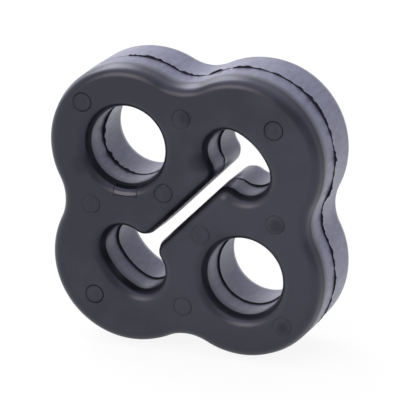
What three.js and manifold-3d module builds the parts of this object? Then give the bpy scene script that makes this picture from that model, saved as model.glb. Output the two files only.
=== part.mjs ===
import * as THREE from 'three';
import { mergeVertices } from 'three/addons/utils/BufferGeometryUtils.js';
import Module from 'manifold-3d';

// Exhaust hanger rubber: one moulded block with a four-lobed outline, two round
// pin holes on one diagonal and a straight slot with widened ends on the other.
// Lengths are in millimetres. X points right, Y from the front face to the back
// face, Z up. The origin is the middle of the block.

const wasm = await Module();
wasm.setup();

// Block outline
const thickness = 21;
const pinLobeSpacing = 36; // middle to middle of the lobes with a pin hole
const pinLobeRadius = 17.3;
const slotLobeSpacing = 34; // middle to middle of the lobes with a slot end
const slotLobeRadius = 17.75;
const waistRadius = 10; // hollow between two lobes

// Round pin holes
const pinHoleSpacing = 36.5; // middle to middle
const pinHoleRadius = 8.65;

// Slot and its widened ends
const slotWidth = 3.2;
const slotLength = 44; // far wall to far wall
const slotEndRadius = 13.6; // curve of a far wall
const hornRadius = 5.1; // round side of a slot end
const hornSpacing = 5.7; // middle to middle of an end's two round sides
const earRadius = 2.6; // rubber corner where the slot opens into its end

// Rounding of the outer edges and of every mouth, which the sharpest rubber corner limits
const wantedEdgeRadius = 2;
const edgeRadius = Math.min(wantedEdgeRadius, 0.9 * earRadius);

// Flash that the mould leaves round the middle of every wall
const flashWidth = 0.35;
const outerFlashHeight = 0.1;
const holeFlashHeight = 0.35;

// Shallow round marks that the mould's pins leave in the front face
const markRadius = 2.15;
const markDepth = 0.2; // at the deepest side
const markSlope = THREE.MathUtils.degToRad(3); // floor of a mark to the front face
const markTurn = THREE.MathUtils.degToRad(40); // deepest side of one mark to that of the next
const pinLobeMarkSpacing = 62.2; // from mark to mark at the pin lobes' tips
const slotLobeMarkSpacing = 56.6; // at the slot lobes' tips
const waistMarkSpacing = 40.8; // at opposite waists
const bridgeMarkSpacing = 11.5; // across the slot

// Directions from the middle of the block, anticlockwise from the right
const [right, slotUp, up, pinUp, left, slotDown, down, pinDown] = [0, 1, 2, 3, 4, 5, 6, 7]
  .map((eighth) => eighth * Math.PI / 4);

// Fineness of the curves
const facetAngle = THREE.MathUtils.degToRad(9);
const edgeFacets = 3;
const markFacets = 16;

const rubber = new THREE.MeshStandardMaterial({ color: 0x43444e, roughness: 0.5, metalness: 0 });

function polar(reach, direction) {
  return new THREE.Vector2(reach, 0).rotateAround(new THREE.Vector2(), direction);
}

// Direction from one point to another
function bearing(from, to) {
  return Math.atan2(to.y - from.y, to.x - from.x);
}

// The same direction, as many full turns on or back as it takes to pass another one
function after(angle, other) {
  return angle + 2 * Math.PI * Math.ceil((other - angle) / (2 * Math.PI));
}

function before(angle, other) {
  return angle - 2 * Math.PI * Math.ceil((angle - other) / (2 * Math.PI));
}

// Points along an arc, without its last one
function arcPoints(centre, radius, from, to) {
  const facets = Math.max(3, Math.ceil(Math.abs(to - from) / facetAngle));
  const arc = new THREE.ArcCurve(centre.x, centre.y, radius, from, to, to < from);
  return arc.getPoints(facets).slice(0, -1);
}

// Middle of the waist that touches two neighbouring lobes from outside
function waistCentre(lobe, next, radius) {
  const span = lobe.centre.distanceTo(next.centre);
  const near = lobe.radius + radius;
  const far = next.radius + radius;
  const along = (span ** 2 + near ** 2 - far ** 2) / (2 * span);
  const outward = Math.sqrt(near ** 2 - along ** 2);
  const direction = next.centre.clone().sub(lobe.centre).normalize();
  return lobe.centre.clone()
    .addScaledVector(direction, along)
    .add(new THREE.Vector2(direction.y, -direction.x).multiplyScalar(outward));
}

// Four lobes joined by tangent waists, anticlockwise, grown outward by a margin
function blockOutline(margin) {
  const slotLobe = (direction) => ({
    centre: polar(slotLobeSpacing / 2, direction),
    radius: slotLobeRadius + margin,
  });
  const pinLobe = (direction) => ({
    centre: polar(pinLobeSpacing / 2, direction),
    radius: pinLobeRadius + margin,
  });
  const lobes = [slotLobe(slotUp), pinLobe(pinUp), slotLobe(slotDown), pinLobe(pinDown)];
  const waist = waistRadius - margin;
  const waists = lobes.map((lobe, index) => waistCentre(lobe, lobes[(index + 1) % 4], waist));
  return lobes.flatMap((lobe, index) => {
    const next = lobes[(index + 1) % 4];
    const from = bearing(lobe.centre, waists[(index + 3) % 4]);
    const to = after(bearing(lobe.centre, waists[index]), from);
    const waistFrom = bearing(waists[index], lobe.centre);
    const waistTo = before(bearing(waists[index], next.centre), waistFrom);
    return [
      ...arcPoints(lobe.centre, lobe.radius, from, to),
      ...arcPoints(waists[index], waist, waistFrom, waistTo),
    ];
  });
}

function pinHoleOutline(direction, margin) {
  return arcPoints(polar(pinHoleSpacing / 2, direction), pinHoleRadius + margin, 0, 2 * Math.PI);
}

// A quarter of the slot, which runs along X here: from its straight wall round an ear
// and a horn to the middle of its end
function slotQuarter(margin) {
  const wall = slotWidth / 2 + margin;
  const ear = earRadius - margin;
  const horn = hornRadius + margin;
  const end = slotEndRadius + margin;
  const endCentre = new THREE.Vector2(slotLength / 2 - slotEndRadius, 0);
  const hornUp = hornSpacing / 2;
  const hornAlong = Math.sqrt((end - horn) ** 2 - hornUp ** 2);
  const hornCentre = new THREE.Vector2(endCentre.x + hornAlong, hornUp);
  const earAlong = Math.sqrt((ear + horn) ** 2 - (wall + ear - hornUp) ** 2);
  const earCentre = new THREE.Vector2(hornCentre.x - earAlong, wall + ear);
  const earTo = bearing(earCentre, hornCentre);
  const hornTo = bearing(endCentre, hornCentre);
  return [
    ...arcPoints(earCentre, ear, -Math.PI / 2, earTo),
    ...arcPoints(hornCentre, horn, earTo + Math.PI, hornTo),
    ...arcPoints(endCentre, end, hornTo, 0),
    new THREE.Vector2(slotLength / 2 + margin, 0),
  ];
}

function slotOutline(margin) {
  const upper = slotQuarter(margin);
  const lower = upper.slice(0, -1).reverse().map((point) => new THREE.Vector2(point.x, -point.y));
  const end = [...upper, ...lower];
  const otherEnd = end.map((point) => point.clone().negate());
  return [...end, ...otherEnd].map((point) => point.rotateAround(new THREE.Vector2(), slotUp));
}

// The block's outline with its three openings
function blockShape(outerMargin, openingMargin) {
  const shape = new THREE.Shape(blockOutline(outerMargin));
  shape.holes = [
    pinHoleOutline(pinUp, openingMargin),
    pinHoleOutline(pinDown, openingMargin),
    slotOutline(openingMargin),
  ].map((points) => new THREE.Path(points));
  return shape;
}

// An extrusion along Y with its middle at the origin
function acrossBlock(shape, settings) {
  return new THREE.ExtrudeGeometry(shape, settings)
    .translate(0, 0, -settings.depth / 2)
    .rotateX(Math.PI / 2);
}

function toSolid(geometry) {
  const bare = geometry.clone();
  bare.deleteAttribute('normal');
  bare.deleteAttribute('uv');
  const merged = mergeVertices(bare);
  return new wasm.Manifold(new wasm.Mesh({
    numProp: 3,
    vertProperties: new Float32Array(merged.attributes.position.array),
    triVerts: new Uint32Array(merged.index.array),
  }));
}

function toGeometry(solid) {
  const mesh = solid.getMesh();
  const geometry = new THREE.BufferGeometry();
  geometry.setAttribute('position', new THREE.BufferAttribute(mesh.vertProperties, 3));
  geometry.setIndex(new THREE.BufferAttribute(mesh.triVerts, 1));
  geometry.computeVertexNormals();
  return geometry;
}

function roundedBlock() {
  return toSolid(acrossBlock(blockShape(0, 0), {
    depth: thickness - 2 * edgeRadius,
    bevelThickness: edgeRadius,
    bevelSize: edgeRadius,
    bevelOffset: -edgeRadius,
    bevelSegments: edgeFacets,
  }));
}

// A thin plate that stands proud of the outside and of every opening's wall as a rib
function flashPlate() {
  const shape = blockShape(outerFlashHeight, -holeFlashHeight);
  return toSolid(acrossBlock(shape, { depth: flashWidth, bevelEnabled: false }));
}

// Cutter for one mark: a disc whose inner face leans so that one side goes deepest
function markCutter(place, deepestSide) {
  const length = 2 * markRadius;
  const middleDepth = markDepth - markRadius * Math.sin(markSlope);
  return toSolid(new THREE.CylinderGeometry(markRadius, markRadius, length, markFacets)
    .translate(0, -length / 2, 0)
    .rotateZ(markSlope)
    .rotateY(-deepestSide)
    .translate(place.x, middleDepth - thickness / 2, place.y));
}

function markCutters() {
  const places = [
    ...[pinUp, pinDown].map((direction) => polar(pinLobeMarkSpacing / 2, direction)),
    ...[slotUp, slotDown].map((direction) => polar(slotLobeMarkSpacing / 2, direction)),
    ...[right, up, left, down].map((direction) => polar(waistMarkSpacing / 2, direction)),
    ...[pinUp, pinDown].map((direction) => polar(bridgeMarkSpacing / 2, direction)),
  ];
  return places.map((place, index) => markCutter(place, (index % 3 - 1) * markTurn));
}

function hangerRubber() {
  const plain = roundedBlock().add(flashPlate());
  const marked = markCutters().reduce((solid, cutter) => solid.subtract(cutter), plain);
  const mesh = new THREE.Mesh(toGeometry(marked), rubber);
  mesh.name = 'hanger_rubber';
  return mesh;
}

const part = new THREE.Group();
part.add(hangerRubber());

export default part;
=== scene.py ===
import math

import bmesh
import bpy
from mathutils import Matrix, Vector, noise


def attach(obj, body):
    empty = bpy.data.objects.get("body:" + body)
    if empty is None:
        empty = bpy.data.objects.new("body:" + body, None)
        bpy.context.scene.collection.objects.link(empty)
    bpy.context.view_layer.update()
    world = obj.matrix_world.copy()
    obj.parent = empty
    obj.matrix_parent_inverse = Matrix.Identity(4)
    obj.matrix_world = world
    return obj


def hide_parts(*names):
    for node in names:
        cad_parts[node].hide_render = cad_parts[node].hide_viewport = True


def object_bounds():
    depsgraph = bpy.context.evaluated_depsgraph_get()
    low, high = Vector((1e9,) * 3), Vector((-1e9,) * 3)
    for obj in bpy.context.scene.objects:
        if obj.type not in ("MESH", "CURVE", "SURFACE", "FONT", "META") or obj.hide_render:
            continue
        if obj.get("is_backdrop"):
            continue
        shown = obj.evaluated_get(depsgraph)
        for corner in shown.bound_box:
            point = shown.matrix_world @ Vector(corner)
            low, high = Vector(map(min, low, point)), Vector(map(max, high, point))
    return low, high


# Exhaust hanger rubber: one block of moulded rubber. It is drawn in millimetres and then
# scaled to metres. X points right, Y from the marked front face to the plain back, Z up.

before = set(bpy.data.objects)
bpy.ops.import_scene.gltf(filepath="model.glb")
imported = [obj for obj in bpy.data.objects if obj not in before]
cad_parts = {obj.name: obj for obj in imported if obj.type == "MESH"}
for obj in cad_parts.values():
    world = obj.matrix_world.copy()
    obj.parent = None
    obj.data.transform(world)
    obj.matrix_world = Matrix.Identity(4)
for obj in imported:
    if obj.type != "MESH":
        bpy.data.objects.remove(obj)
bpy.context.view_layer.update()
print("frame loaded")

perMillimetre = 0.001  # metres
perMetre = 1000  # millimetres, for the scales of patterns
touching = 0.01  # millimetres between points that are taken as one
welded = 0.001  # millimetres between the last doubles, once all is joined
towardFront = (0, -1, 0)  # turns about this run anticlockwise, seen from the front
noise.seed_set(3)  # else the noise starts from the time of day
slotUp, pinUp, slotDown, pinDown = 45, 135, 225, 315  # degrees anticlockwise from the right

blockSizes = {  # millimetres and degrees
    "thickness": 21,
    "pinLobeSpacing": 36,
    "pinLobeRadius": 17.3,
    "slotLobeSpacing": 34,
    "slotLobeRadius": 17.75,
    "waistRadius": 10,
    "pinHoleSpacing": 36.5,
    "pinHoleRadius": 8.65,
    "slotWidth": 3.2,
    "slotLength": 44,
    "slotEndRadius": 13.6,
    "hornRadius": 5.1,
    "hornSpacing": 5.7,
    "earRadius": 2.6,
    "edgeRadius": 2.2,
    "edgeStart": 2.2,  # from the CAD's wall to where the rounding starts
    "edgeTurn": 74,  # of the rounding, which a plain slope carries on from there
    "slopeLength": 1.3,
    "creaseFront": 0.15,  # how sharply the slope bends into the wall
    "creaseWall": 0.7,
    "frontDraft": 2,  # lean of the walls from the parting line to the front face
    "backDraft": 0.5,
    "edgeSteps": 12,
    "slopeSteps": 3,
    "creaseSteps": 2,
    "fewestSteps": 4,  # along an arc or a straight of the outlines
    "lip": 0.03,  # flat strip that keeps the rounding's shading off the face
    "wallStep": 1.4,  # between points through the thickness
    "outlineStep": 0.5,  # between points round the outline
    "faceGrid": 2.5,  # between the cuts that let a face sag
    "sag": 0.03,  # how far the cured rubber strays from the mould
    "sagWidth": 14,  # of one bulge
    "creaseAngle": 38,  # from which an edge is shaded sharp
}

flashSizes = {  # the fin that the mould's parting line leaves, millimetres
    "partingPlane": -1.85,  # depth from the middle of the thickness, less toward the front
    "outside": {"height": 0.3, "ragged": 1.1, "wave": 4, "tear": 0.6},
    "upperPinHole": {"height": 0.25, "ragged": 0.35, "wave": 4, "tear": 0.8},
    "lowerPinHole": {"height": 0.38, "ragged": 0.12, "wave": 9, "tear": 2},
    "slot": {"height": 0.4, "ragged": 0.15, "wave": 7, "tear": 2},
    "lumps": [  # place in X and Z, added height and reach of beads, swells and torn parts
        (-20.3, 16.3, 0.28, 3), (-21.1, 13.5, 0.36, 0.7), (-21, 11.4, 0.26, 0.4),
        (-19.7, 8.4, 0.6, 0.55), (-19, 7.4, 0.25, 0.35), (-18.2, 6.6, 0.4, 0.45),
        (-17, 5.8, 0.2, 0.4), (-15.8, 5.2, 0.38, 0.5), (-14.4, 4.8, 0.22, 0.35),
        (-11, 4.9, -0.1, 2.5), (-22, 27, -0.6, 7), (23, -27, -0.6, 6),
        (30.3, -9.5, 0.34, 0.5), (30.1, 12.5, 0.26, 0.5), (22.5, 26.8, 0.22, 0.5),
        (24.8, 25, 0.18, 0.4), (17.5, 29.2, 0.2, 0.5), (9.8, 30, 0.2, 0.5),
        (-2.6, 27.7, 0.22, 0.6), (-8, 29.6, 0.16, 0.5), (27.3, 0, 0.24, 0.5),
        (28.2, 4.5, 0.18, 0.4), (29.8, -15, 0.2, 0.5)],
    "least": 0.01,  # height where the fin is torn off
    "tearShare": 0.8,  # of the short tears in the raggedness, against the long waves
    "foot": 0.12,  # width of each side of the fin
    "slotStraight": (10.5, 13),  # along the slot, where its fin starts and is full
    "halfWidth": 0.02,  # of its crest
}

markSizes = {  # shallow rings that the mould's pins leave, millimetres and degrees
    "radius": 2.12,
    "depth": 0.16,
    "slope": 3,
    "deepest": 45,  # side that the first mark's floor leans to
    "turn": 40,  # from that side to the next mark's
    "gap": 0.25,  # groove round the pin
    "gapDepth": 0.09,
    "innerRadius": 1.1,  # fainter groove round the pin's own bore
    "innerShare": 0.15,
    "pressed": (1.2, 0.5, 1.1, 1.3, 0.6, 0.6, 0.7, 0.7, 1, 0.6),  # share of each mark's depths
    "segments": 40,
    "pinLobeSpacing": 62.2,
    "slotLobeSpacing": 56.6,
    "waistSpacing": 40.8,
    "bridgeSpacing": 11.6,
}


def polar(reach, degrees):
    angle = math.radians(degrees)
    return Vector((reach * math.cos(angle), 0, reach * math.sin(angle)))


def bearing(start, goal):
    step = goal - start
    return math.atan2(step.z, step.x)


def spinAlong(mesh, geometry, path, axis):
    # Each leg of the path is a centre, a turn, a straight move and a number of steps
    for centre, turn, move, steps in path:
        result = bmesh.ops.spin(
            mesh, geom=geometry, cent=centre, axis=axis, dvec=Vector(move) / steps,
            angle=turn, steps=steps, use_merge=math.isclose(abs(turn), math.tau),
            use_duplicate=False)
        geometry = result["geom_last"]
    return geometry


def arc(centre, turn, steps):
    return centre, turn, (0, 0, 0), steps


def straight(move, steps=1):
    return (0, 0, 0), 0, move, steps


def drawWallSection(mesh):
    # From the front face over the rounding and its slope, down the wall past the parting
    # line, and back
    sizes = blockSizes
    half = sizes["thickness"] / 2
    radius = sizes["edgeRadius"]
    turn = math.radians(sizes["edgeTurn"])
    slope = Vector((math.cos(turn), math.sin(turn), 0)) * sizes["slopeLength"]
    sharp = slope * sizes["creaseFront"] / sizes["slopeLength"]
    foot = flashSizes["foot"]
    fin = flashSizes["halfWidth"]
    plainWall = half - radius * (1 - math.cos(turn)) - slope.y - sizes["creaseWall"] - foot - fin
    frontWall = plainWall + flashSizes["partingPlane"]
    backWall = plainWall - flashSizes["partingPlane"]
    frontLean = math.tan(math.radians(sizes["frontDraft"])) * frontWall
    backLean = math.tan(math.radians(sizes["backDraft"])) * backWall
    mirror = Vector((-1, 1, 1))
    crease = straight((0, sizes["creaseWall"], 0), sizes["creaseSteps"])
    path = [
        straight((sizes["lip"], 0, 0)),
        arc((-sizes["edgeStart"], radius - half, 0), turn, sizes["edgeSteps"]),
        straight(slope - sharp, sizes["slopeSteps"]),
        straight(sharp),
        crease,
        straight((frontLean, frontWall, 0), round(frontWall / sizes["wallStep"])),
        straight((0, foot, 0)),
        straight((0, 2 * fin, 0)),
        straight((0, foot, 0)),
        straight((-backLean, backWall, 0), round(backWall / sizes["wallStep"])),
        crease,
        straight(sharp * mirror),
        straight((slope - sharp) * mirror, sizes["slopeSteps"]),
    ]
    start = mesh.verts.new((-sizes["edgeStart"] - sizes["lip"], -half, 0))
    wall = spinAlong(mesh, [start], path, (0, 0, 1))
    turned = Vector((math.sin(turn), math.cos(turn), 0)) * radius
    path = [
        arc(wall[0].co - turned, turn, sizes["edgeSteps"]),
        straight((-sizes["lip"], 0, 0)),
    ]
    spinAlong(mesh, wall, path, (0, 0, 1))


def stepsAlong(length):
    return max(blockSizes["fewestSteps"], round(length / blockSizes["outlineStep"]))


def arcLeg(centre, radius, turn):
    return arc(centre, turn, stepsAlong(radius * abs(turn)))


def straightLeg(move):
    return straight(move, stepsAlong(Vector(move).length))


def lobedPath():
    # Four lobes joined by waists that touch them from outside, anticlockwise
    sizes = blockSizes
    waist = sizes["waistRadius"]
    slotLobe = sizes["slotLobeRadius"]
    pinLobe = sizes["pinLobeRadius"]
    lobes = [
        (polar(sizes["slotLobeSpacing"] / 2, slotUp), slotLobe),
        (polar(sizes["pinLobeSpacing"] / 2, pinUp), pinLobe),
        (polar(sizes["slotLobeSpacing"] / 2, slotDown), slotLobe),
        (polar(sizes["pinLobeSpacing"] / 2, pinDown), pinLobe),
    ]
    waists = []
    for index, (centre, radius) in enumerate(lobes):
        nextCentre, nextRadius = lobes[(index + 1) % 4]
        toNext = nextCentre - centre
        near = radius + waist
        far = nextRadius + waist
        along = (toNext.length ** 2 + near ** 2 - far ** 2) / (2 * toNext.length)
        outward = math.sqrt(near ** 2 - along ** 2)
        toNext.normalize()
        waists.append(centre + toNext * along + Vector((toNext.z, 0, -toNext.x)) * outward)
    path = []
    for index, (centre, radius) in enumerate(lobes):
        nextCentre = lobes[(index + 1) % 4][0]
        turn = bearing(centre, waists[index]) - bearing(centre, waists[index - 1])
        path.append(arcLeg(centre, radius, turn % math.tau))
        turn = bearing(waists[index], centre) - bearing(waists[index], nextCentre)
        path.append(arcLeg(waists[index], waist, -(turn % math.tau)))
    facing = math.degrees(bearing(lobes[0][0], waists[3]))
    return path, lobes[0][0] + polar(slotLobe, facing), facing


def slotPath():
    # Lying along X: from the middle of the upper wall round both widened ends
    sizes = blockSizes
    wall = sizes["slotWidth"] / 2
    ear = sizes["earRadius"]
    horn = sizes["hornRadius"]
    end = sizes["slotEndRadius"]
    endCentre = Vector((sizes["slotLength"] / 2 - end, 0, 0))
    hornUp = sizes["hornSpacing"] / 2
    hornAlong = math.sqrt((end - horn) ** 2 - hornUp ** 2)
    hornCentre = endCentre + Vector((hornAlong, 0, hornUp))
    earAlong = math.sqrt((ear + horn) ** 2 - (wall + ear - hornUp) ** 2)
    earCentre = Vector((hornCentre.x - earAlong, 0, wall + ear))
    earTurn = bearing(earCentre, hornCentre) + math.pi / 2
    hornEnd = bearing(endCentre, hornCentre)
    hornTurn = hornEnd - earTurn - math.pi / 2
    below = Vector((1, 1, -1))
    halfWall = (earCentre.x, 0, 0)
    widening = [
        (earCentre, ear, earTurn),
        (hornCentre, horn, hornTurn),
        (endCentre, end, -2 * hornEnd),
        (hornCentre * below, horn, hornTurn),
        (earCentre * below, ear, earTurn),
    ]
    path = [straightLeg(halfWall)]
    path += [arcLeg(centre, radius, turn) for centre, radius, turn in widening]
    path.append(straightLeg((-2 * earCentre.x, 0, 0)))
    path += [arcLeg(-centre, radius, turn) for centre, radius, turn in widening]
    path.append(straightLeg(halfWall))
    return path, Vector((0, 0, wall)), -90


def pinHolePath(direction):
    centre = polar(blockSizes["pinHoleSpacing"] / 2, direction)
    radius = blockSizes["pinHoleRadius"]
    return [arcLeg(centre, radius, math.tau)], centre + polar(radius, 0), 180


def turnRound(mesh, degrees):
    turn = Matrix.Rotation(math.radians(degrees), 3, towardFront)
    bmesh.ops.rotate(mesh, cent=(0, 0, 0), matrix=turn, verts=mesh.verts)


def smoothStep(value, low, high):
    share = min(max((value - low) / (high - low), 0), 1)
    return share * share * (3 - 2 * share)


def finHeight(flash, place):
    wave = noise.noise(place / flash["wave"])
    tear = noise.noise(place / flash["tear"])
    height = flash["height"] * (1 + flash["ragged"] * (wave + flashSizes["tearShare"] * tear))
    for x, z, size, reach in flashSizes["lumps"]:
        apart = (place - Vector((x, 0, z))).length
        height += size * math.exp(-(apart / reach) ** 2)
    if flash is flashSizes["slot"]:
        height *= smoothStep(abs(place.dot(polar(1, slotUp))), *flashSizes["slotStraight"])
    return max(height, flashSizes["least"])


def raiseFlash(mesh, flash):
    # The rings at the fin's foot stay on the wall, and the two at its crest rise
    mesh.normal_update()
    for vertex in mesh.verts:
        if abs(vertex.co.y - flashSizes["partingPlane"]) < flashSizes["halfWidth"] + touching:
            place = Vector((vertex.co.x, 0, vertex.co.z))
            vertex.co += vertex.normal * finHeight(flash, place)


def wallRing(block, path, start, facing, flash, turn=0):
    # One wall of the block, with its rounded edges, swept round an outline
    ring = bmesh.new()
    drawWallSection(ring)
    turnRound(ring, facing)
    bmesh.ops.translate(ring, vec=start, verts=ring.verts)
    spinAlong(ring, ring.verts[:] + ring.edges[:], path, towardFront)
    bmesh.ops.remove_doubles(ring, verts=ring.verts, dist=touching)
    turnRound(ring, turn)
    bmesh.ops.recalc_face_normals(ring, faces=ring.faces)
    lip = min(ring.faces, key=lambda face: face.calc_center_median().y)
    if lip.normal.y > 0:
        bmesh.ops.reverse_faces(ring, faces=ring.faces)
    raiseFlash(ring, flash)
    data = bpy.data.meshes.new("wallRing")
    ring.to_mesh(data)
    ring.free()
    block.from_mesh(data)
    bpy.data.meshes.remove(data)


def onFront(x, z):
    return Vector((x, -blockSizes["thickness"] / 2, z))


def markPlaces():
    rows = (
        ("pinLobeSpacing", (pinUp, pinDown)),
        ("slotLobeSpacing", (slotUp, slotDown)),
        ("waistSpacing", (0, 90, 180, 270)),
        ("bridgeSpacing", (pinUp, pinDown)),
    )
    places = [polar(markSizes[row] / 2, turn) for row, turns in rows for turn in turns]
    return [onFront(place.x, place.z) for place in places]


def drawMarkRim(mesh, place):
    upright = Matrix.Rotation(math.pi / 2, 4, "X")
    rim = bmesh.ops.create_circle(
        mesh, radius=markSizes["radius"], segments=markSizes["segments"],
        matrix=Matrix.Translation(place) @ upright)
    return list(dict.fromkeys(edge for vertex in rim["verts"] for edge in vertex.link_edges))


def stepIn(mesh, rim, place, share, depth):
    # A further ring inside a mark, with this share of its rim's width, and this much deeper
    made = bmesh.ops.extrude_edge_only(mesh, edges=rim)["geom"]
    points = [item for item in made if isinstance(item, bmesh.types.BMVert)]
    bmesh.ops.scale(
        mesh, vec=(share, 1, share), space=Matrix.Translation(-place), verts=points)
    bmesh.ops.translate(mesh, vec=(0, depth, 0), verts=points)
    return points, [item for item in made if isinstance(item, bmesh.types.BMEdge)]


def sinkMark(mesh, rim, place, deepest, pressed):
    # A fine groove round a floor that leans, so one side goes deepest, and a fainter one inside
    sizes = markSizes
    lean = math.radians(sizes["slope"]) * pressed
    middle = sizes["depth"] * pressed - sizes["radius"] * math.sin(lean)
    groove = sizes["gapDepth"] * pressed
    shrink = 1 - sizes["gap"] / 2 / sizes["radius"]
    points, rim = stepIn(mesh, rim, place, shrink, middle + groove)
    hinge = Matrix.Rotation(lean, 3, polar(1, deepest + 90))
    bmesh.ops.rotate(mesh, cent=place, matrix=hinge, verts=points)
    points, rim = stepIn(mesh, rim, place, shrink, -groove)
    groove *= sizes["innerShare"]
    inner = sizes["innerRadius"] / sizes["radius"]
    for shrink, depth in ((inner, 0), (1 - (1 - shrink) / inner, groove), (shrink, -groove)):
        points, rim = stepIn(mesh, rim, place, shrink, depth)
    bmesh.ops.contextual_create(mesh, geom=rim)


def closeFace(mesh, side, rims):
    # Fills the flat face between the roundings, round the rims of the marks
    level = side * blockSizes["thickness"] / 2
    edges = [edge for edge in mesh.edges
             if edge.is_boundary and all(abs(v.co.y - level) < touching for v in edge.verts)]
    fill = bmesh.ops.triangle_fill(
        mesh, use_beauty=True, use_dissolve=False, edges=edges + rims, normal=(0, side, 0))
    faces = [item for item in fill["geom"] if isinstance(item, bmesh.types.BMFace)]
    pieces = list(dict.fromkeys(
        item for face in faces for item in (face, *face.edges, *face.verts)))
    reach = blockSizes["pinLobeSpacing"] / 2 + blockSizes["pinLobeRadius"]
    cuts = int(reach / blockSizes["faceGrid"])
    for normal in ((1, 0, 0), (0, 0, 1)):
        for step in range(-cuts, cuts + 1):
            offset = Vector(normal) * step * blockSizes["faceGrid"]
            cut = bmesh.ops.bisect_plane(
                mesh, geom=pieces, dist=2 * touching, plane_co=offset, plane_no=normal)
            pieces = cut["geom"]


def warp(mesh):
    for vertex in mesh.verts:
        sway = noise.noise_vector(vertex.co / blockSizes["sagWidth"])
        vertex.co += sway * blockSizes["sag"]


def buildBlock():
    block = bmesh.new()
    wallRing(block, *lobedPath(), flashSizes["outside"])
    wallRing(block, *pinHolePath(pinUp), flashSizes["upperPinHole"])
    wallRing(block, *pinHolePath(pinDown), flashSizes["lowerPinHole"])
    wallRing(block, *slotPath(), flashSizes["slot"], turn=slotUp)
    print("walls swept:", len(block.faces), "faces")
    places = markPlaces()
    rims = [drawMarkRim(block, place) for place in places]
    closeFace(block, -1, [edge for rim in rims for edge in rim])
    closeFace(block, 1, [])
    for index, place in enumerate(places):
        near = markSizes["radius"] + touching
        rim = [edge for edge in block.edges if edge.is_boundary
               and all((v.co - place).length < near for v in edge.verts)]
        deepest = markSizes["deepest"] + (index % 3 - 1) * markSizes["turn"]
        sinkMark(block, rim, place, deepest, markSizes["pressed"][index])
    bmesh.ops.remove_doubles(block, verts=block.verts, dist=welded)
    bmesh.ops.recalc_face_normals(block, faces=block.faces)
    warp(block)
    bmesh.ops.scale(block, vec=(perMillimetre,) * 3, verts=block.verts)
    openEdges = sum(1 for edge in block.edges if not edge.is_manifold)
    print("faces closed:", len(block.faces), "faces,", openEdges, "open edges")
    data = bpy.data.meshes.new("mouldedBlock")
    block.to_mesh(data)
    block.free()
    data.shade_smooth()
    data.set_sharp_from_angle(angle=math.radians(blockSizes["creaseAngle"]))
    piece = bpy.data.objects.new("moulded_block", data)
    bpy.context.scene.collection.objects.link(piece)
    return piece


mixFrom, mixTo, mixed = 6, 7, 2  # where a Mix node takes and gives colours


def linear(hexColour):
    # The sRGB curve, undone
    channels = [int(hexColour[start:start + 2], 16) / 255 for start in (1, 3, 5)]
    return [c / 12.92 if c < 0.04045 else ((c + 0.055) / 1.055) ** 2.4 for c in channels] + [1]


def addNode(tree, kind, settings, links):
    node = tree.nodes.new(kind)
    for name, value in settings.items():
        setattr(node, name, value)
    for name, value in links.items():
        if isinstance(value, bpy.types.NodeSocket):
            tree.links.new(value, node.inputs[name])
        else:
            node.inputs[name].default_value = value
    return node


rubberFinish = {  # millimetres for the sizes
    "deep": "#101015",
    "bloomed": "#212127",
    "paleSlant": (11, 0, -8),  # how the face turns paler toward the right and the bottom, per metre
    "wallDeep": "#4f4e5f",
    "wallBloomed": "#656478",
    "wallMiddle": 1.1,  # depth of the middle of the pale wall
    "wallEnds": (8.5, 6.4),  # distance from there, where it starts and is full
    "mouthShadeEnds": (9.2, 8.5),  # depth to the front where the mouths' painted shade starts and is full
    "tornAndShaded": "#08080a",  # black of the painted shade in the mouths, in the face's dark patches and in the marks' grooves, and of the fin's band where the flash was torn off
    "tornAndShadedBand": 0.15,  # half the width of the fin's black band: rough torn rubber, darkened further as painted shade of the fin's side and foot
    "patchMiddle": (-12.75, 3.6),  # insert in the mould, under the upper pin hole
    "patchHalf": (2.6, 2, 1.05),
    "patchLine": 0.08,  # half the width of the joint round it
    "polished": 0.2,  # its roughness
    "jointed": 0.9,  # roughness of the joint and of the fin
    "shadePatches": [  # place in X and Z, and reach, of dark soft patches of painted shade on the face
        (3.4, 11.5, 3), (-16.8, -9.3, 3.6), (0.9, 20.9, 2.2), (-22.4, 8.3, 3.4),
        (20.6, -0.2, 2.1), (22.1, -22.3, 1.8)],
    "shadePatchMiddle": 0.35,  # share of the reach that is fully shaded
    "shadePatchBlack": 0.7,  # share of the painted shade's black there
    "paintedShadeRoughness": 0.8,  # roughness there
    "ring": 0.2,  # half the width of the painted shade in the marks' grooves
    "ringed": 0.75,  # share of the painted shade's black there
    "streak": (1.1, 4),  # width and length of the walls' streaks
    "bloomWidth": 9,  # of a bloomed patch
    "bloomEnds": (0.28, 0.72),  # levels of the noise, where a patch starts and is full
    "noiseEnds": (0.3, 0.7),  # the same for the streaks and for the roughness
    "grain": 0.35,  # coarser than the blasted mould's 0.1, which would not show
    "grainHeight": 0.004,
    "peel": 2.2,  # width of the skin's waves
    "peelHeight": 0.01,
    "roughest": 0.38,
    "smoothest": 0.3,
    "ior": 1.56,
    "specularTint": "#dfe1fb",
}


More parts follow.
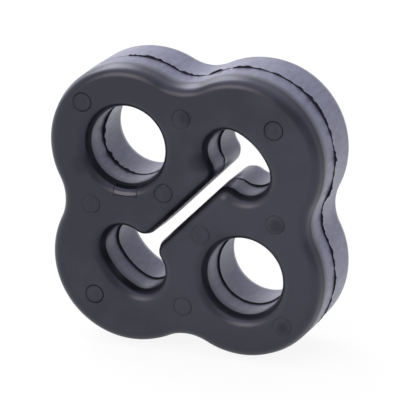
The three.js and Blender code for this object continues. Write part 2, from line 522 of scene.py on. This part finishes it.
def mouldedRubber():
    # EPDM rubber, moulded in a blasted steel mould: a deep blue-black with a satin skin
    # that turns pale grey at a low angle
    finish = rubberFinish
    material = bpy.data.materials.new("mouldedEpdmRubber")
    material.use_nodes = True
    tree = material.node_tree
    tree.nodes.clear()
    place = addNode(tree, "ShaderNodeTexCoord", {}, {}).outputs["Object"]
    bloom = addNode(tree, "ShaderNodeTexNoise", {}, {
        "Vector": place, "Scale": perMetre / finish["bloomWidth"], "Detail": 4, "Roughness": 0.6})
    peel = addNode(tree, "ShaderNodeTexNoise", {}, {
        "Vector": place, "Scale": perMetre / finish["peel"], "Detail": 2, "Roughness": 0.5})
    grain = addNode(tree, "ShaderNodeTexNoise", {}, {
        "Vector": place, "Scale": perMetre / finish["grain"], "Detail": 3, "Roughness": 0.6})
    paleSlant = addNode(tree, "ShaderNodeVectorMath", {"operation": "DOT_PRODUCT"}, {
        0: place, 1: finish["paleSlant"]})
    paleness = addNode(tree, "ShaderNodeMath", {"operation": "ADD"}, {
        0: bloom.outputs["Fac"], 1: paleSlant.outputs["Value"]})
    patches = addNode(tree, "ShaderNodeMapRange", {"interpolation_type": "SMOOTHSTEP"}, {
        "Value": paleness.outputs[0], "From Min": finish["bloomEnds"][0],
        "From Max": finish["bloomEnds"][1]})
    cured = addNode(tree, "ShaderNodeMix", {"data_type": "RGBA"}, {
        "Factor": patches.outputs["Result"], mixFrom: linear(finish["deep"]),
        mixTo: linear(finish["bloomed"])})
    # Painted shade: dark soft patches on the face, and shade in the grooves of the marks
    paintedShade = 0
    for x, z, reach in finish["shadePatches"]:
        apart = addNode(tree, "ShaderNodeVectorMath", {"operation": "DISTANCE"}, {
            0: place, 1: onFront(x, z) * perMillimetre})
        shadePatch = addNode(tree, "ShaderNodeMapRange", {"interpolation_type": "SMOOTHSTEP"}, {
            "Value": apart.outputs["Value"], "From Min": reach * perMillimetre,
            "From Max": reach * finish["shadePatchMiddle"] * perMillimetre,
            "To Max": finish["shadePatchBlack"]})
        paintedShade = addNode(tree, "ShaderNodeMath", {"operation": "MAXIMUM"}, {
            0: shadePatch.outputs["Result"], 1: paintedShade}).outputs[0]
    # Painted shade in each mark's groove, darker where the mark is pressed deeper
    for middle, pressed in zip(markPlaces(), markSizes["pressed"]):
        apart = addNode(tree, "ShaderNodeVectorMath", {"operation": "DISTANCE"}, {
            0: place, 1: middle * perMillimetre})
        ring = addNode(tree, "ShaderNodeMath", {"operation": "COMPARE"}, {
            0: apart.outputs["Value"], 1: (markSizes["radius"] - finish["ring"]) * perMillimetre,
            2: finish["ring"] * perMillimetre})
        paintedShade = addNode(tree, "ShaderNodeMath", {"operation": "MULTIPLY_ADD"}, {
            0: ring.outputs[0], 1: finish["ringed"] * pressed, 2: paintedShade}).outputs[0]
    faceColour = addNode(tree, "ShaderNodeMix", {"data_type": "RGBA"}, {
        "Factor": paintedShade, mixFrom: cured.outputs[mixed], mixTo: linear(finish["tornAndShaded"])})
    # The walls, paler than the faces, with streaks through the thickness: partly a pale film on
    # the walls, partly painted sheen of the bright backdrop seen at a low angle
    width, length = finish["streak"]
    drawn = addNode(tree, "ShaderNodeMapping", {}, {
        "Vector": place, "Scale": (1, width / length, 1)})
    streaks = addNode(tree, "ShaderNodeTexNoise", {}, {
        "Vector": drawn.outputs["Vector"], "Scale": perMetre / width, "Detail": 3,
        "Roughness": 0.6})
    streaked = addNode(tree, "ShaderNodeMapRange", {}, {
        "Value": streaks.outputs["Fac"], "From Min": finish["noiseEnds"][0],
        "From Max": finish["noiseEnds"][1]})
    wallColour = addNode(tree, "ShaderNodeMix", {"data_type": "RGBA"}, {
        "Factor": streaked.outputs["Result"], mixFrom: linear(finish["wallDeep"]),
        mixTo: linear(finish["wallBloomed"])})
    depth = addNode(tree, "ShaderNodeSeparateXYZ", {}, {"Vector": place}).outputs["Y"]
    shifted = addNode(tree, "ShaderNodeMath", {"operation": "SUBTRACT"}, {
        0: depth, 1: finish["wallMiddle"] * perMillimetre})
    apart = addNode(tree, "ShaderNodeMath", {"operation": "ABSOLUTE"}, {0: shifted.outputs[0]})
    wall = addNode(tree, "ShaderNodeMapRange", {"interpolation_type": "SMOOTHSTEP"}, {
        "Value": apart.outputs[0], "From Min": finish["wallEnds"][0] * perMillimetre,
        "From Max": finish["wallEnds"][1] * perMillimetre})
    # Painted shade: the black mouths at the front, where the rounding turns into the wall and the
    # holes' far walls hide the light, and the torn fin
    mouthShade = addNode(tree, "ShaderNodeMapRange", {"interpolation_type": "SMOOTHSTEP"}, {
        "Value": depth, "From Min": -finish["mouthShadeEnds"][0] * perMillimetre,
        "From Max": -finish["mouthShadeEnds"][1] * perMillimetre})
    front = addNode(tree, "ShaderNodeMix", {"data_type": "RGBA"}, {
        "Factor": mouthShade.outputs["Result"], mixFrom: faceColour.outputs[mixed],
        mixTo: linear(finish["tornAndShaded"])})
    backFace = addNode(tree, "ShaderNodeMath", {"operation": "GREATER_THAN"}, {0: depth, 1: 0})
    plain = addNode(tree, "ShaderNodeMix", {"data_type": "RGBA"}, {
        "Factor": backFace.outputs[0], mixFrom: front.outputs[mixed],
        mixTo: faceColour.outputs[mixed]})
    moulded = addNode(tree, "ShaderNodeMix", {"data_type": "RGBA"}, {
        "Factor": wall.outputs["Result"], mixFrom: plain.outputs[mixed],
        mixTo: wallColour.outputs[mixed]})
    # The fin's black band: torn rubber, plus painted shade beside the fin
    tornAndShaded = addNode(tree, "ShaderNodeMath", {"operation": "COMPARE"}, {
        0: depth, 1: (flashSizes["partingPlane"] - flashSizes["foot"] / 2) * perMillimetre,
        2: finish["tornAndShadedBand"] * perMillimetre})
    # How far outside the mould's insert a point lies
    offset = addNode(tree, "ShaderNodeVectorMath", {"operation": "SUBTRACT"}, {
        0: place, 1: onFront(*finish["patchMiddle"]) * perMillimetre})
    spread = addNode(tree, "ShaderNodeVectorMath", {"operation": "ABSOLUTE"}, {
        0: offset.outputs["Vector"]})
    beyond = addNode(tree, "ShaderNodeVectorMath", {"operation": "SUBTRACT"}, {
        0: spread.outputs["Vector"], 1: Vector(finish["patchHalf"]) * perMillimetre})
    sides = addNode(tree, "ShaderNodeSeparateXYZ", {}, {"Vector": beyond.outputs["Vector"]})
    across = addNode(tree, "ShaderNodeMath", {"operation": "MAXIMUM"}, {
        0: sides.outputs["X"], 1: sides.outputs["Z"]})
    outside = addNode(tree, "ShaderNodeMath", {"operation": "MAXIMUM"}, {
        0: across.outputs[0], 1: sides.outputs["Y"]})
    joint = addNode(tree, "ShaderNodeMath", {"operation": "COMPARE"}, {
        0: outside.outputs[0], 1: 0, 2: finish["patchLine"] * perMillimetre})
    inside = addNode(tree, "ShaderNodeMath", {"operation": "LESS_THAN"}, {
        0: outside.outputs[0], 1: 0})
    black = addNode(tree, "ShaderNodeMath", {"operation": "MAXIMUM"}, {
        0: tornAndShaded.outputs[0], 1: joint.outputs[0]})
    colour = addNode(tree, "ShaderNodeMix", {"data_type": "RGBA"}, {
        "Factor": black.outputs[0], mixFrom: moulded.outputs[mixed],
        mixTo: linear(finish["tornAndShaded"])})
    # How rough each part is, then its waves and its grain
    skin = addNode(tree, "ShaderNodeMapRange", {}, {
        "Value": bloom.outputs["Fac"], "From Min": finish["noiseEnds"][0],
        "From Max": finish["noiseEnds"][1], "To Min": finish["smoothest"],
        "To Max": finish["roughest"]})
    paintedShadeRoughness = addNode(tree, "ShaderNodeMix", {"data_type": "FLOAT"}, {
        "Factor": paintedShade, "A": skin.outputs["Result"], "B": finish["paintedShadeRoughness"]})
    polished = addNode(tree, "ShaderNodeMix", {"data_type": "FLOAT"}, {
        "Factor": inside.outputs[0], "A": paintedShadeRoughness.outputs[0], "B": finish["polished"]})
    roughness = addNode(tree, "ShaderNodeMix", {"data_type": "FLOAT"}, {
        "Factor": black.outputs[0], "A": polished.outputs[0], "B": finish["jointed"]})
    waves = addNode(tree, "ShaderNodeBump", {}, {
        "Height": peel.outputs["Fac"], "Strength": 1,
        "Distance": finish["peelHeight"] * perMillimetre})
    texture = addNode(tree, "ShaderNodeBump", {}, {
        "Height": grain.outputs["Fac"], "Strength": 1,
        "Distance": finish["grainHeight"] * perMillimetre, "Normal": waves.outputs["Normal"]})
    shader = addNode(tree, "ShaderNodeBsdfPrincipled", {}, {
        "Base Color": colour.outputs[mixed], "Roughness": roughness.outputs[0],
        "IOR": finish["ior"], "Normal": texture.outputs["Normal"],
        "Specular Tint": linear(finish["specularTint"])})
    addNode(tree, "ShaderNodeOutputMaterial", {}, {"Surface": shader.outputs["BSDF"]})
    return material


studio = {
    "floorReach": 6,  # metres
    "floorColour": "#f4f4f4",
    "floorGlow": 0.9,  # share of the floor's own white in what the camera sees
    "floorMirrored": 0.49,  # that share in reflections
    "roomDark": 0.6,  # the room at the right, in reflections and as light
    "roomHigh": 1,  # what its ceiling adds
    "roomLeft": 0.35,  # what its left side adds
    "ceiling": (0.55, 1),  # heights of a direction, where the ceiling starts and is full
    "leftSide": (0.1, -0.6),
    "backdrop": (0, 0.5),  # depths of a direction, where it starts and is full
    "backdropMirrored": 0.5,  # what it adds in reflections
    "roomColour": "#f4f5ff",
    "softboxes": {  # degrees from the front and up, metres, watts
        "keySoftbox": {"turn": -25, "rise": 29, "distance": 1, "size": (0.5, 0.6),
                       "power": 4, "colour": "#fff0dc"},
        "backSoftbox": {"turn": -128, "rise": 45, "distance": 1, "size": (0.6, 0.6),
                        "power": 4.4, "colour": "#fbfaff"},
    },
}


def layFloor(low):
    # White for the camera and in reflections, with a part of the object's shadow
    material = bpy.data.materials.new("paintedFloor")  # matt white paint on a board
    material.use_nodes = True
    tree = material.node_tree
    tree.nodes.clear()
    rays = addNode(tree, "ShaderNodeLightPath", {}, {})
    either = addNode(tree, "ShaderNodeMath", {"operation": "MAXIMUM"}, {
        0: rays.outputs["Is Glossy Ray"], 1: rays.outputs["Is Transmission Ray"]})
    mirrored = addNode(tree, "ShaderNodeMath", {"operation": "MULTIPLY"}, {
        0: either.outputs[0], 1: studio["floorMirrored"]})
    seen = addNode(tree, "ShaderNodeMath", {"operation": "MULTIPLY"}, {
        0: rays.outputs["Is Camera Ray"], 1: studio["floorGlow"]})
    share = addNode(tree, "ShaderNodeMath", {"operation": "MAXIMUM"}, {
        0: seen.outputs[0], 1: mirrored.outputs[0]})
    matt = addNode(tree, "ShaderNodeBsdfDiffuse", {}, {"Color": linear(studio["floorColour"])})
    glow = addNode(tree, "ShaderNodeEmission", {}, {"Color": (1, 1, 1, 1), "Strength": 1})
    mix = addNode(tree, "ShaderNodeMixShader", {}, {
        0: share.outputs[0], 1: matt.outputs[0], 2: glow.outputs[0]})
    addNode(tree, "ShaderNodeOutputMaterial", {}, {"Surface": mix.outputs[0]})
    sheet = bmesh.new()
    bmesh.ops.create_grid(
        sheet, x_segments=1, y_segments=1, size=studio["floorReach"] / 2,
        matrix=Matrix.Translation((0, 0, low)))
    data = bpy.data.meshes.new("floor")
    sheet.to_mesh(data)
    sheet.free()
    data.materials.append(material)
    floor = bpy.data.objects.new("floor", data)
    bpy.context.scene.collection.objects.link(floor)
    floor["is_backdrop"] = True


def lightRoom():
    # White behind the block for the camera, and for all other rays a plain room
    world = bpy.data.worlds.new("studioRoom")
    bpy.context.scene.world = world
    world.use_nodes = True
    tree = world.node_tree
    tree.nodes.clear()
    rays = addNode(tree, "ShaderNodeLightPath", {}, {})
    direction = addNode(tree, "ShaderNodeTexCoord", {}, {}).outputs["Generated"]
    parts = addNode(tree, "ShaderNodeSeparateXYZ", {}, {"Vector": direction})
    either = addNode(tree, "ShaderNodeMath", {"operation": "MAXIMUM"}, {
        0: rays.outputs["Is Glossy Ray"], 1: rays.outputs["Is Transmission Ray"]})
    backdrop = addNode(tree, "ShaderNodeMapRange", {"interpolation_type": "SMOOTHSTEP"}, {
        "Value": parts.outputs["Y"], "From Min": studio["backdrop"][0],
        "From Max": studio["backdrop"][1], "To Max": studio["backdropMirrored"]})
    room = addNode(tree, "ShaderNodeMath", {"operation": "MULTIPLY_ADD"}, {
        0: backdrop.outputs["Result"], 1: either.outputs[0], 2: studio["roomDark"]}).outputs[0]
    for axis, ends, more in (
            ("Z", studio["ceiling"], studio["roomHigh"]),
            ("X", studio["leftSide"], studio["roomLeft"])):
        part = addNode(tree, "ShaderNodeMapRange", {"interpolation_type": "SMOOTHSTEP"}, {
            "Value": parts.outputs[axis], "From Min": ends[0], "From Max": ends[1],
            "To Max": more})
        room = addNode(tree, "ShaderNodeMath", {"operation": "ADD"}, {
            0: room, 1: part.outputs["Result"]}).outputs[0]
    camera = rays.outputs["Is Camera Ray"]
    strength = addNode(tree, "ShaderNodeMix", {"data_type": "FLOAT"}, {
        "Factor": camera, "A": room, "B": 1})
    tint = addNode(tree, "ShaderNodeMix", {"data_type": "RGBA"}, {
        "Factor": camera, mixFrom: linear(studio["roomColour"]), mixTo: (1, 1, 1, 1)})
    glow = addNode(tree, "ShaderNodeBackground", {}, {
        "Color": tint.outputs[mixed], "Strength": strength.outputs[0]})
    addNode(tree, "ShaderNodeOutputWorld", {}, {"Surface": glow.outputs[0]})


def hangSoftbox(name, setup):
    data = bpy.data.lights.new(name, "AREA")
    data.shape = "RECTANGLE"
    data.size, data.size_y = setup["size"]
    data.energy = setup["power"]
    data.color = linear(setup["colour"])[:3]
    lamp = bpy.data.objects.new(name, data)
    turn = Matrix.Rotation(math.radians(setup["turn"]), 4, "Z")
    tilt = Matrix.Rotation(math.radians(90 - setup["rise"]), 4, "X")
    lamp.matrix_world = turn @ tilt @ Matrix.Translation((0, 0, setup["distance"]))
    bpy.context.scene.collection.objects.link(lamp)


cameraSetup = {  # millimetres and degrees, at the photograph's angle
    "azimuth": 21.1443,
    "elevation": 18.2183,
    "roll": -0.3715,
    "distance": 564.41,
    "target": (-0.016, 0, -0.12),
    "lens": 241.78,
    "sensor": 36,
    "seen": (10, 50000),  # nearest and farthest
}


def placeCamera():
    sizes = cameraSetup
    data = bpy.data.cameras.new("camera")
    data.lens = sizes["lens"]
    data.sensor_width = sizes["sensor"]
    data.clip_start, data.clip_end = Vector(sizes["seen"]) * perMillimetre
    camera = bpy.data.objects.new("camera", data)
    turn = Matrix.Rotation(math.radians(sizes["azimuth"]), 4, "Z")
    tilt = Matrix.Rotation(math.radians(90 - sizes["elevation"]), 4, "X")
    roll = Matrix.Rotation(math.radians(sizes["roll"]), 4, "Z")
    distance = Matrix.Translation((0, 0, sizes["distance"] * perMillimetre))
    target = Matrix.Translation(Vector(sizes["target"]) * perMillimetre)
    camera.matrix_world = target @ turn @ tilt @ distance @ roll
    bpy.context.scene.collection.objects.link(camera)
    bpy.context.scene.camera = camera


block = buildBlock()
block.data.materials.append(mouldedRubber())
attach(block, "root")
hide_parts("hanger_rubber")
print("block dressed")

placeCamera()
layFloor(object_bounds()[0].z)
lightRoom()
for name, setup in studio["softboxes"].items():
    hangSoftbox(name, setup)
bpy.context.scene.view_settings.view_transform = "Standard"
print("studio lit")
